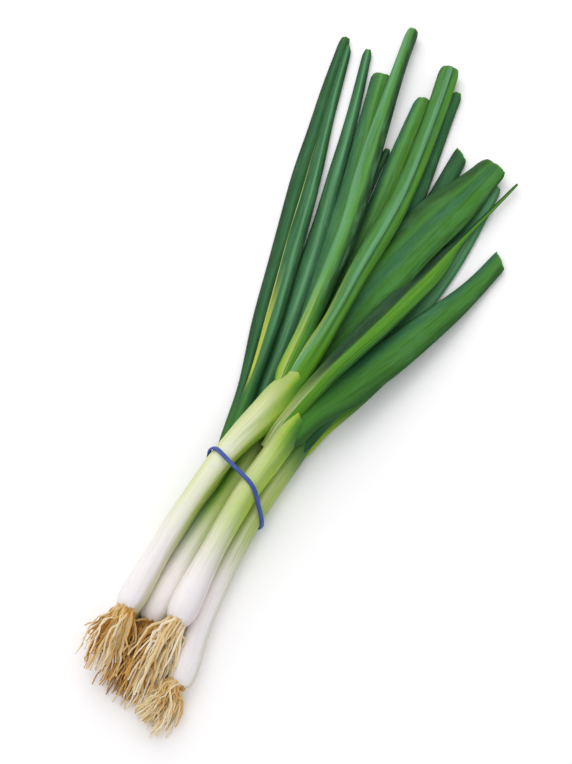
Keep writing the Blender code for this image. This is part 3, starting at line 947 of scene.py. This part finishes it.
def model_roots(node, count, thickness, template, straw, brown, seed):
    """One tuft of root strands and the plate that they grow from."""
    course = RootCourse(node)
    style = TUFT_STYLES[node]
    rng = np.random.default_rng(seed)
    theta, share, faces = template
    knots = np.linspace(0, 1, STRAND_RINGS)
    points, places, grains, made_faces = [], [], [], []
    for number in range(round(count * style.share)):
        line = strand_line(course, style, rng, knots)
        side, over = sideways(unit(np.gradient(line, axis=0)))
        width = thickness / 2 * rng.uniform(0.7, 1.25) * (1 - 0.55 * knots)
        ring = np.rint(share * (STRAND_RINGS - 1)).astype(int)
        radius = width[ring][:, None]
        made = line[ring] + radius * (
            np.cos(theta)[:, None] * side[ring] + np.sin(theta)[:, None] * over[ring])
        made_faces.extend([v + number * len(theta) for v in face] for face in faces)
        points.append(made)
        tone = rng.uniform(*style.tones)
        places.append(np.stack([np.full(len(theta), tone), share, np.zeros(len(theta))], axis=-1))
        shift = rng.uniform(0, 50)
        grains.append(np.stack([np.cos(theta), np.sin(theta), share * 6 + shift], axis=-1))
    mesh = bpy.data.meshes.new(node.replace("roots", "tuft"))
    mesh.from_pydata(np.concatenate(points).tolist(), [], made_faces)
    tuft = link_new(mesh.name, mesh)
    store_vector(tuft, "place", *np.concatenate(places).T)
    store_vector(tuft, "grain", *np.concatenate(grains).T)
    finish_piece(tuft, straw, node, 80)
    model_plate(node, course, brown, rng)


def model_plate(node, course, brown, rng):
    """The flat brown disc under a bulb, from which its roots grow."""
    clear_selection()
    centre, *axes = (part[0] for part in course.at(np.array([0.01])))
    bpy.ops.mesh.primitive_uv_sphere_add(
        segments=32, ring_count=16, radius=PLATE_RADIUS, location=Vector(centre))
    plate = named_piece(node.replace("roots", "plate"))
    points = vertex_points(plate)
    lumps = 1 + waves(np.arctan2(points[:, 1], points[:, 0]), rng, (1.05, 0.63), (0.05, 0.04))
    points = points * lumps[:, None]
    across, above, ahead = points.T
    place_points(plate, section_points(centre, *axes, across, -above, ahead * PLATE_FLATNESS))
    finish_piece(plate, brown, node)


# Band

def band_material(blue, highlight, shade):
    skin = Skin("band_blue")
    grain = skin.attribute("grain")
    mottle = skin.grains(grain, 3.0, 2.0, 4.0)
    scuffs = skin.grains(grain, 9.0, 1.0, 3.0)
    colour = skin.mix(skin.step(mottle, 0.35, 0.7) * 0.5, blue, highlight)
    colour = skin.tint(colour, scuffs, 0.55, 0.8, 0.35, shade)
    relief = (mottle + scuffs * 0.6, 0.35, 0.12 * MM)
    return skin.close(colour, 0.45 + (scuffs - 0.5) * 0.3, 0.5, relief)


def band_line():
    """The band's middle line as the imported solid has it, with its outward and sideways vectors."""
    triangles = node_triangles("rubber_band")
    corners = np.unique(triangles.reshape(-1, 3).round(7), axis=0)
    middle = corners.mean(axis=0)
    axis = np.linalg.svd(corners - middle, full_matrices=False)[2][2]
    axis = axis * np.sign(axis @ ALONG)
    side, over = sideways(axis)
    line = []
    for angle in np.linspace(0, 2 * math.pi, BAND_ROUND, endpoint=False):
        out = side * math.cos(angle) + over * math.sin(angle)
        found = slice_points(triangles, middle, np.cross(axis, out)) - middle
        reach = found @ out
        found = found[reach > 0]
        reach = reach[reach > 0]
        height = found @ axis
        line.append(middle + out * (reach.max() + reach.min()) / 2 + axis * height.mean())
    line = np.array(line)
    for _ in range(3):
        line = line * 0.5 + (np.roll(line, 1, axis=0) + np.roll(line, -1, axis=0)) * 0.25
    forward = unit(np.roll(line, -1, axis=0) - np.roll(line, 1, axis=0))
    outward = unit(np.cross(forward, axis))
    outward *= np.sign(np.sum(outward * (line - middle), axis=1))[:, None]
    return line, outward, axis


def model_band(width, thickness, material):
    """The rubber band, as a rounded strip held tight round the shafts."""
    line, outward, axis = band_line()
    middle = line.mean(axis=0)
    clear_selection()
    radius = float(np.linalg.norm(line - middle, axis=1).mean())
    bpy.ops.mesh.primitive_torus_add(
        major_segments=BAND_ROUND, minor_segments=BAND_SIDES, major_radius=radius,
        minor_radius=thickness / 2, location=Vector(middle))
    band = named_piece("blue_band")
    points = vertex_points(band)
    flat = np.hypot(points[:, 0], points[:, 1])
    mean = (flat.max() + flat.min()) / 2
    turn = np.arctan2(points[:, 1], points[:, 0]) % (2 * math.pi)
    number = np.rint(turn / (2 * math.pi) * BAND_ROUND).astype(int) % BAND_ROUND
    angle = np.arctan2(points[:, 2], flat - mean)
    rng = np.random.default_rng(BAND_SEED)
    sway = waves(turn, rng, (2 * math.pi / 5, 2 * math.pi / 3), (0.05, 0.1))
    out = bulged(np.cos(angle), 0.8) * thickness / 2
    along = bulged(np.sin(angle), 0.8) * width / 2 + sway * MM
    place_points(band, line[number] + outward[number] * out[:, None] - axis * along[:, None])
    store_vector(band, "grain", np.cos(turn) * 6, np.sin(turn) * 6, np.sin(angle))
    make_active(band)
    bpy.ops.object.mode_set(mode="EDIT")
    bpy.ops.mesh.select_all(action="SELECT")
    bpy.ops.mesh.normals_make_consistent(inside=False)
    bpy.ops.object.mode_set(mode="OBJECT")
    finish_piece(band, material, "rubber_band")


# Stage

def floor_material(tone):
    skin = Skin("floor_paper")
    place = skin.node("ShaderNodeTexCoord", output=3)
    soft = skin.noise(place, 6.0, 2.0)
    colour = skin.mix(soft * 0.05, tone, linear(236, 238, 242))
    return skin.close(colour, 0.9 + soft * 0.05, 0.1)


def add_area(name, size, energy, colour, azimuth, elevation, distance, target):
    """A soft square light, aimed at the bunch."""
    light = bpy.data.lights.new(name, "AREA")
    light.size = size
    light.energy = energy
    light.color = colour
    lamp = link_new(name, light)
    away = direction_from(azimuth, elevation)
    lamp.location = target + away * distance
    lamp.rotation_euler = (-away).to_track_quat("-Z", "Y").to_euler()


def direction_from(azimuth, elevation):
    turn = math.radians(azimuth)
    rise = math.radians(elevation)
    return Vector((
        math.sin(turn) * math.cos(rise), -math.cos(turn) * math.cos(rise), math.sin(rise)))


# Settings that a user would change

def colour_setting(name, description, default):
    return bpy.props.FloatVectorProperty(
        name=name, description=description, default=default, subtype="COLOR", min=0, max=1)


def length_setting(name, description, default):
    return bpy.props.FloatProperty(
        name=name, description=description, default=default, unit="LENGTH", min=0, precision=5)


def number_setting(name, description, default):
    return bpy.props.FloatProperty(name=name, description=description, default=default)


class OnionSizes(bpy.types.PropertyGroup):
    """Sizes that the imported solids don't give."""

    leaf_wall: length_setting("Leaf wall", "Thickness of a hollow leaf's wall", 0.45 * MM)
    sheath_wall: length_setting("Sheath wall", "Thickness of a shaft's outer sheath", 0.4 * MM)
    strand: length_setting("Root strand", "Thickness of a root strand where it starts", 0.95 * MM)
    band_width: length_setting("Band width", "Width of the rubber band", 1.6 * MM)
    band_thickness: length_setting("Band thickness", "Thickness of the rubber band", 0.9 * MM)
    strands: bpy.props.IntProperty(
        name="Strands", description="Root strands in each tuft", default=110, min=8, max=400)


class OnionColours(bpy.types.PropertyGroup):
    """Colours of the band."""

    band: colour_setting("Band", "Main colour of the rubber band", linear(30, 66, 150))
    band_light: colour_setting("Band light", "Worn patches of the band", linear(70, 92, 182))
    band_shade: colour_setting("Band shade", "Dirt lines on the band", linear(16, 26, 76))


class OnionStudio(bpy.types.PropertyGroup):
    """Camera and floor."""

    azimuth: number_setting("Azimuth", "Camera's angle round the bunch, in degrees", 26)
    elevation: number_setting("Elevation", "Camera's angle above the floor, in degrees", 60)
    distance: length_setting("Distance", "Camera's distance from its aim", 781 * MM)
    lens: number_setting("Lens", "Focal length for a 36 mm long side, in mm", 103.85)
    floor: colour_setting("Floor", "Colour of the floor", (0.97, 0.97, 0.97))


# Operators

class OBJECT_OT_onion_shafts(bpy.types.Operator):
    """Model the five bulbs and shafts"""

    bl_idname = "object.onion_shafts"
    bl_label = "Bulbs and shafts"

    def execute(self, context):
        wall = context.scene.onion_sizes.sheath_wall
        for seed, (node, style) in enumerate(SHAFT_STYLES.items(), SHAFT_SEED):
            model_shaft(node, style, wall, seed)
        return {"FINISHED"}


class OBJECT_OT_onion_leaves(bpy.types.Operator):
    """Model the fifteen hollow leaves"""

    bl_idname = "object.onion_leaves"
    bl_label = "Leaves"

    def execute(self, context):
        wall = context.scene.onion_sizes.leaf_wall
        for seed, (node, style) in enumerate(LEAF_STYLES.items(), LEAF_SEED):
            model_leaf(node, style, wall, seed)
        return {"FINISHED"}


class OBJECT_OT_onion_roots(bpy.types.Operator):
    """Model the five root tufts and their plates"""

    bl_idname = "object.onion_roots"
    bl_label = "Roots"

    def execute(self, context):
        sizes = context.scene.onion_sizes
        template = strand_template(sizes.strand)
        straw = root_material()
        brown = plate_material()
        for number in range(1, 6):
            node = f"onion_{number}_roots"
            model_roots(node, sizes.strands, sizes.strand, template, straw, brown, ROOT_SEED + number)
        return {"FINISHED"}


class OBJECT_OT_onion_band(bpy.types.Operator):
    """Model the rubber band"""

    bl_idname = "object.onion_band"
    bl_label = "Rubber band"

    def execute(self, context):
        sizes = context.scene.onion_sizes
        colours = context.scene.onion_colours
        material = band_material(tuple(colours.band), tuple(colours.band_light), tuple(colours.band_shade))
        model_band(sizes.band_width, sizes.band_thickness, material)
        return {"FINISHED"}


class OBJECT_OT_onion_stage(bpy.types.Operator):
    """Lay the pale floor, light it softly and aim the camera"""

    bl_idname = "object.onion_stage"
    bl_label = "Floor, light and camera"

    def execute(self, context):
        studio = context.scene.onion_studio
        low, high = CAD_BOX
        middle = (low + high) / 2
        clear_selection()
        bpy.ops.mesh.primitive_plane_add(size=6.0, location=(0, 0, 0))
        floor = bpy.context.object
        floor.name = "floor"
        floor.data.materials.append(floor_material(tuple(studio.floor)))
        for light in LIGHTS:
            add_area(*light, middle)
        world = bpy.data.worlds.new("soft_sky")
        world.use_nodes = True
        sky = world.node_tree.nodes["Background"]
        sky.inputs["Color"].default_value = SKY_COLOUR
        sky.inputs["Strength"].default_value = SKY_STRENGTH
        context.scene.world = world
        context.scene.view_settings.view_transform = "Standard"
        lens = bpy.data.cameras.new("camera")
        camera = link_new("camera", lens)
        back = direction_from(studio.azimuth, studio.elevation)
        aim = middle + AIM_OFFSET
        camera.location = aim + back * studio.distance
        camera.rotation_euler = (-back).to_track_quat("-Z", "Y").to_euler()
        lens.lens = studio.lens
        lens.sensor_width = FILM_SIDE
        lens.clip_start = 0.01
        lens.clip_end = 20.0
        context.scene.camera = camera
        return {"FINISHED"}


class VIEW3D_PT_onions(bpy.types.Panel):
    """Lists the steps that model the bunch"""

    bl_label = "Spring onions"
    bl_idname = "VIEW3D_PT_onions"
    bl_space_type = "VIEW_3D"
    bl_region_type = "UI"
    bl_category = "Onions"

    def draw(self, context):
        for group in GROUPS:
            box = self.layout.box()
            settings = getattr(context.scene, group)
            for key in settings.__annotations__:
                box.prop(settings, key)
        for step in STEPS:
            self.layout.operator(step.bl_idname)


STEPS = (
    OBJECT_OT_onion_shafts,
    OBJECT_OT_onion_leaves,
    OBJECT_OT_onion_roots,
    OBJECT_OT_onion_band,
    OBJECT_OT_onion_stage,
)
GROUPS = {"onion_sizes": OnionSizes, "onion_colours": OnionColours, "onion_studio": OnionStudio}
PARTS = (*GROUPS.values(), *STEPS, VIEW3D_PT_onions)


def register():
    for part in PARTS:
        bpy.utils.register_class(part)
    for name, group in GROUPS.items():
        setattr(bpy.types.Scene, name, bpy.props.PointerProperty(type=group))


def unregister():
    for name in GROUPS:
        delattr(bpy.types.Scene, name)
    for part in reversed(PARTS):
        bpy.utils.unregister_class(part)


def main():
    register()
    bpy.ops.object.onion_shafts()
    bpy.ops.object.onion_leaves()
    bpy.ops.object.onion_roots()
    bpy.ops.object.onion_band()
    bpy.ops.object.onion_stage()


if __name__ == "__main__":
    main()
